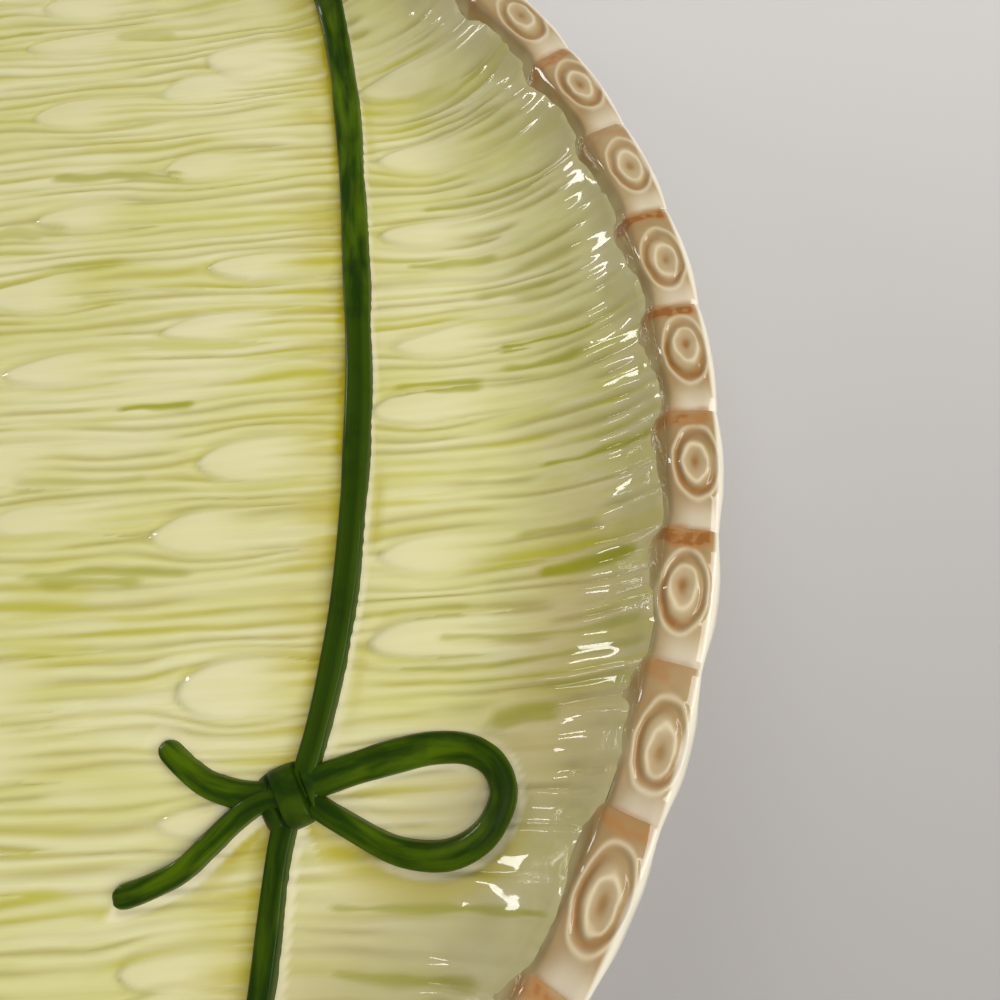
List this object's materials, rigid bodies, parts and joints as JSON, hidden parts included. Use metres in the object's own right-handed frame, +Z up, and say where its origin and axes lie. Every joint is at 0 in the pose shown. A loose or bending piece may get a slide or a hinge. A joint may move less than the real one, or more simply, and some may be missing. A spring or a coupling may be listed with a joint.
{
  "type": "asparagus serving plate",
  "caption": "Round glazed earthenware serving plate moulded as a bed of asparagus spears, with cut ends on the rim and a green tie with a bow in relief.",
  "frame": {"origin": "centre of the resting plane, under the middle of the plate", "axes": "+Z up, +X along the spears towards their cut ends, +Y across them, away from the bow"},
  "size_m": [0.31, 0.31, 0.029],
  "materials": {
    "cream_glaze": "gloss",
    "spear_glaze": "gloss",
    "cut_end_glaze": "gloss",
    "tip_glaze": "gloss",
    "green_glaze": "gloss"
  },
  "bodies": {
    "root": {"dish_body": "cream_glaze", "foot_ring": "cream_glaze", "stalk_01": "spear_glaze", "stalk_02": "spear_glaze", "stalk_03": "spear_glaze", "stalk_04": "spear_glaze", "stalk_05": "spear_glaze", "stalk_06": "spear_glaze", "stalk_07": "spear_glaze", "stalk_08": "spear_glaze", "stalk_09": "spear_glaze", "stalk_10": "spear_glaze", "stalk_11": "spear_glaze", "stalk_12": "spear_glaze", "stalk_13": "spear_glaze", "stalk_14": "spear_glaze", "stalk_15": "spear_glaze", "side_stalk_far": "spear_glaze", "side_stalk_near": "spear_glaze", "cut_end_01": "cut_end_glaze", "cut_end_02": "cut_end_glaze", "cut_end_03": "cut_end_glaze", "cut_end_04": "cut_end_glaze", "cut_end_05": "cut_end_glaze", "cut_end_06": "cut_end_glaze", "cut_end_07": "cut_end_glaze", "cut_end_08": "cut_end_glaze", "cut_end_09": "cut_end_glaze", "cut_end_10": "cut_end_glaze", "cut_end_11": "cut_end_glaze", "cut_end_12": "cut_end_glaze", "cut_end_13": "cut_end_glaze", "cut_end_14": "cut_end_glaze", "cut_end_15": "cut_end_glaze", "spear_tip_01": "tip_glaze", "spear_tip_02": "tip_glaze", "spear_tip_03": "tip_glaze", "spear_tip_04": "tip_glaze", "spear_tip_05": "tip_glaze", "spear_tip_06": "tip_glaze", "spear_tip_07": "tip_glaze", "spear_tip_08": "tip_glaze", "spear_tip_09": "tip_glaze", "spear_tip_10": "tip_glaze", "spear_tip_11": "tip_glaze", "spear_tip_12": "tip_glaze", "spear_tip_13": "tip_glaze", "spear_tip_14": "tip_glaze", "spear_tip_15": "tip_glaze", "tie_upper": "green_glaze", "tie_lower": "green_glaze", "bow_knot": "green_glaze", "bow_loop": "green_glaze", "bow_tail_upper": "green_glaze", "bow_tail_lower": "green_glaze"}
  },
  "joints": []
}
